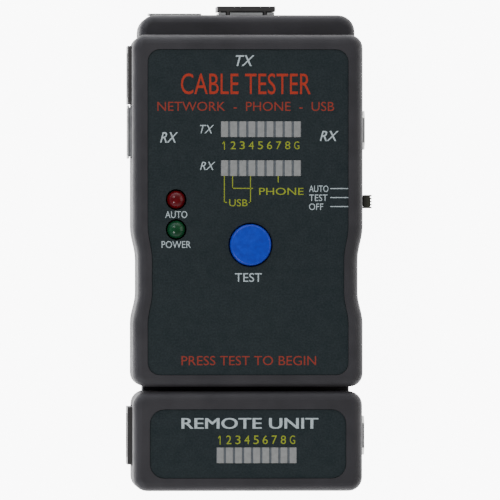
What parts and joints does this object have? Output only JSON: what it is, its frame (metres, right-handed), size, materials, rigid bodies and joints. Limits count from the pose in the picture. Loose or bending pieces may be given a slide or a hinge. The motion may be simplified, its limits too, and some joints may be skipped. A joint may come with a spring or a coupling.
{
  "type": "network cable tester",
  "caption": "Hand-held network and USB cable tester with modular and USB sockets, rows of indicator lights, a test button, and a detachable remote unit docked at its lower end.",
  "frame": {"origin": "on the rear face of the main unit, on its centreline and halfway along its front frame", "axes": "+Z out of the labelled front, +Y towards the transmit end, +X to the right when the label is read"},
  "size_m": [0.0653, 0.1299, 0.0272],
  "materials": {
    "case": "fine spark-eroded grain",
    "label": "printed polyester film, fine matt texture",
    "jack_plastic": "moulded black thermoplastic",
    "tin_plate": "folded tinned sheet",
    "gold_plate": "gold-plated spring wire",
    "insert": "moulded thermoplastic",
    "light_bar": "epoxy-filled light segments",
    "red_lens": "tinted epoxy",
    "green_lens": "tinted epoxy",
    "button": "satin moulded cap",
    "board": "glass-epoxy board with green solder mask",
    "chip": "moulded epoxy",
    "resistor": "dipped coating",
    "steel": "zinc-plated",
    "cell_jacket": "lacquered metal jacket",
    "snap": "soft vinyl",
    "wire_red": "insulated wire",
    "wire_black": "insulated wire",
    "knob": "moulded, ribbed"
  },
  "bodies": {
    "main_unit": {"front_shell": "case", "rear_shell": "case", "front_label": "label", "main_board": "board", "tx_light_bar": "light_bar", "rx_light_bar": "light_bar", "auto_led": "red_lens", "power_led": "green_lens", "tact_switch": "chip", "slide_switch_body": "steel", "tx_jack_housing": "jack_plastic", "tx_jack_shield": "tin_plate", "tx_jack_contacts": "gold_plate", "rx_jack_housing": "jack_plastic", "rx_jack_shield": "tin_plate", "rx_jack_contacts": "gold_plate", "tx_usb_shell": "tin_plate", "tx_usb_insert": "insert", "rx_usb_shell": "tin_plate", "rx_usb_insert": "insert", "rx_usb_b_shell": "tin_plate", "rx_usb_b_insert": "insert", "controller_chip": "chip", "driver_chip": "chip", "crystal": "tin_plate", "capacitor": "snap", "resistor_network": "resistor", "battery": "cell_jacket", "battery_snap": "snap", "battery_lead_red": "wire_red", "battery_lead_black": "wire_black", "case_screw_1": "steel", "case_screw_2": "steel", "case_screw_3": "steel", "case_screw_4": "steel", "board_screw_1": "steel", "board_screw_2": "steel"},
    "button": {"test_button": "button", "tact_plunger": "insert"},
    "switch_knob": {"slide_switch_knob": "knob"},
    "door": {"battery_door": "case"},
    "remote": {"remote_front_shell": "case", "remote_rear_shell": "case", "remote_label": "label", "remote_light_bar": "light_bar", "remote_board": "board", "remote_jack_housing": "jack_plastic", "remote_jack_shield": "tin_plate", "remote_jack_contacts": "gold_plate", "remote_usb_b_shell": "tin_plate", "remote_usb_b_insert": "insert", "remote_resistor_network": "resistor", "remote_screw_1": "steel", "remote_screw_2": "steel"}
  },
  "joints": [
    {"name": "test_button_press", "type": "slide", "parent": "main_unit", "child": "button", "axis": [0, 0, -1], "range_m": [0, 0.0005], "stiffness_N_per_m": 600, "springref_m": -0.002},
    {"name": "switch_slide", "type": "slide", "parent": "main_unit", "child": "switch_knob", "axis": [0, 1, 0], "range_m": [-0.0024, 0.0024]},
    {"name": "battery_door_hinge", "type": "hinge", "parent": "main_unit", "child": "door", "pos_m": [0, -0.01675, 0.0003], "axis": [1, 0, 0], "range_deg": [0, 75]},
    {"name": "remote_dock", "type": "slide", "parent": "main_unit", "child": "remote", "axis": [0, -1, 0], "range_m": [0, 0.03]}
  ]
}
